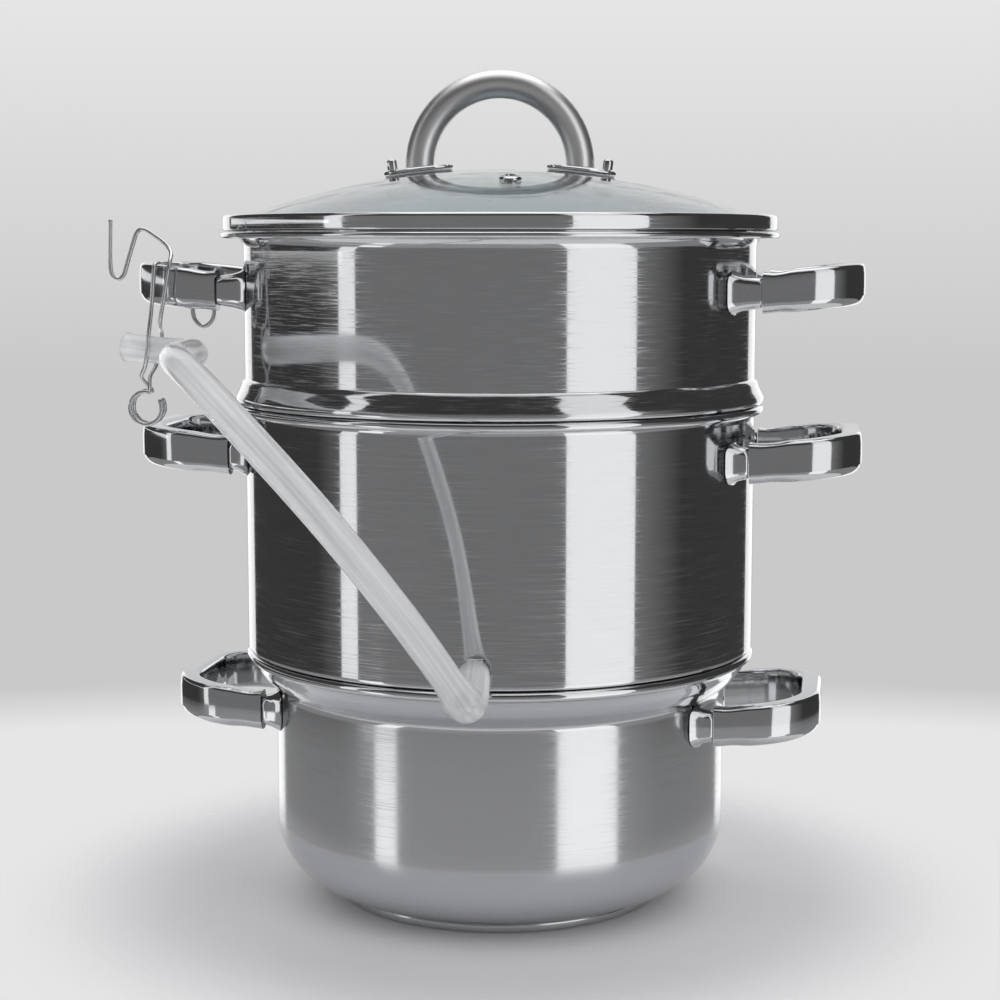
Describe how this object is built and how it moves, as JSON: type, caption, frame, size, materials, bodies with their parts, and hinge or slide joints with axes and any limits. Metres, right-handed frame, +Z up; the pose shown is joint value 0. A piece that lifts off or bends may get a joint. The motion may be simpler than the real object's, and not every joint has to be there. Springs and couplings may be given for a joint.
{
  "type": "steam juicer",
  "caption": "Stacked stainless steam juicer: water pot, juice container with drain hose and wire clamp, perforated fruit basket and glass lid, each with side handles.",
  "frame": {"origin": "centre of the pot's underside, on the common axis of the four tiers", "axes": "+Z up along the lift axis, -Y towards the front where the spout is, +X to the right-hand handles"},
  "size_m": [0.3213, 0.3058, 0.3563],
  "materials": {
    "polished_steel": "polished with a fine horizontal grain",
    "satin_steel": "satin",
    "lid_glass": "clear with a faint blue-grey tint",
    "silicone": "milky translucent silicone"
  },
  "bodies": {
    "pot_tier": {"base_plate": "satin_steel", "pot_bracket_left_front": "polished_steel", "pot_bracket_left_rear": "polished_steel", "pot_bracket_right_front": "polished_steel", "pot_bracket_right_rear": "polished_steel", "pot_handle_left": "polished_steel", "pot_handle_right": "polished_steel", "water_pot": "satin_steel"},
    "juice_tier": {"hose": "silicone", "hose_cuff": "silicone", "juice_bracket_left_front": "polished_steel", "juice_bracket_left_rear": "polished_steel", "juice_bracket_right_front": "polished_steel", "juice_bracket_right_rear": "polished_steel", "juice_handle_left": "polished_steel", "juice_handle_right": "polished_steel", "juice_vessel": "polished_steel", "spout": "polished_steel", "spout_nut": "polished_steel", "spout_seal": "silicone", "steam_cone": "polished_steel"},
    "fruit_tier": {"clamp_hook_wire": "polished_steel", "clamp_spring_wire": "polished_steel", "fruit_basket": "polished_steel", "fruit_bracket_left_front": "polished_steel", "fruit_bracket_left_rear": "polished_steel", "fruit_bracket_right_front": "polished_steel", "fruit_bracket_right_rear": "polished_steel", "fruit_handle_left": "polished_steel", "fruit_handle_right": "polished_steel"},
    "lid_tier": {"lid_band": "polished_steel", "lid_bolt_left": "polished_steel", "lid_bolt_right": "polished_steel", "lid_foot_left": "polished_steel", "lid_foot_right": "polished_steel", "lid_gasket_left": "silicone", "lid_gasket_right": "silicone", "lid_glass": "lid_glass", "lid_handle": "satin_steel", "lid_nut_left": "polished_steel", "lid_nut_right": "polished_steel", "lid_washer_left": "silicone", "lid_washer_right": "silicone", "steam_vent": "polished_steel"}
  },
  "joints": [
    {"name": "juice_lift", "type": "slide", "parent": "pot_tier", "child": "juice_tier", "axis": [0, 0, 1], "range_m": [0, 0.04]},
    {"name": "fruit_lift", "type": "slide", "parent": "juice_tier", "child": "fruit_tier", "axis": [0, 0, 1], "range_m": [0, 0.055], "deforming": ["hose"]},
    {"name": "lid_lift", "type": "slide", "parent": "fruit_tier", "child": "lid_tier", "axis": [0, 0, 1], "range_m": [0, 0.03]}
  ]
}
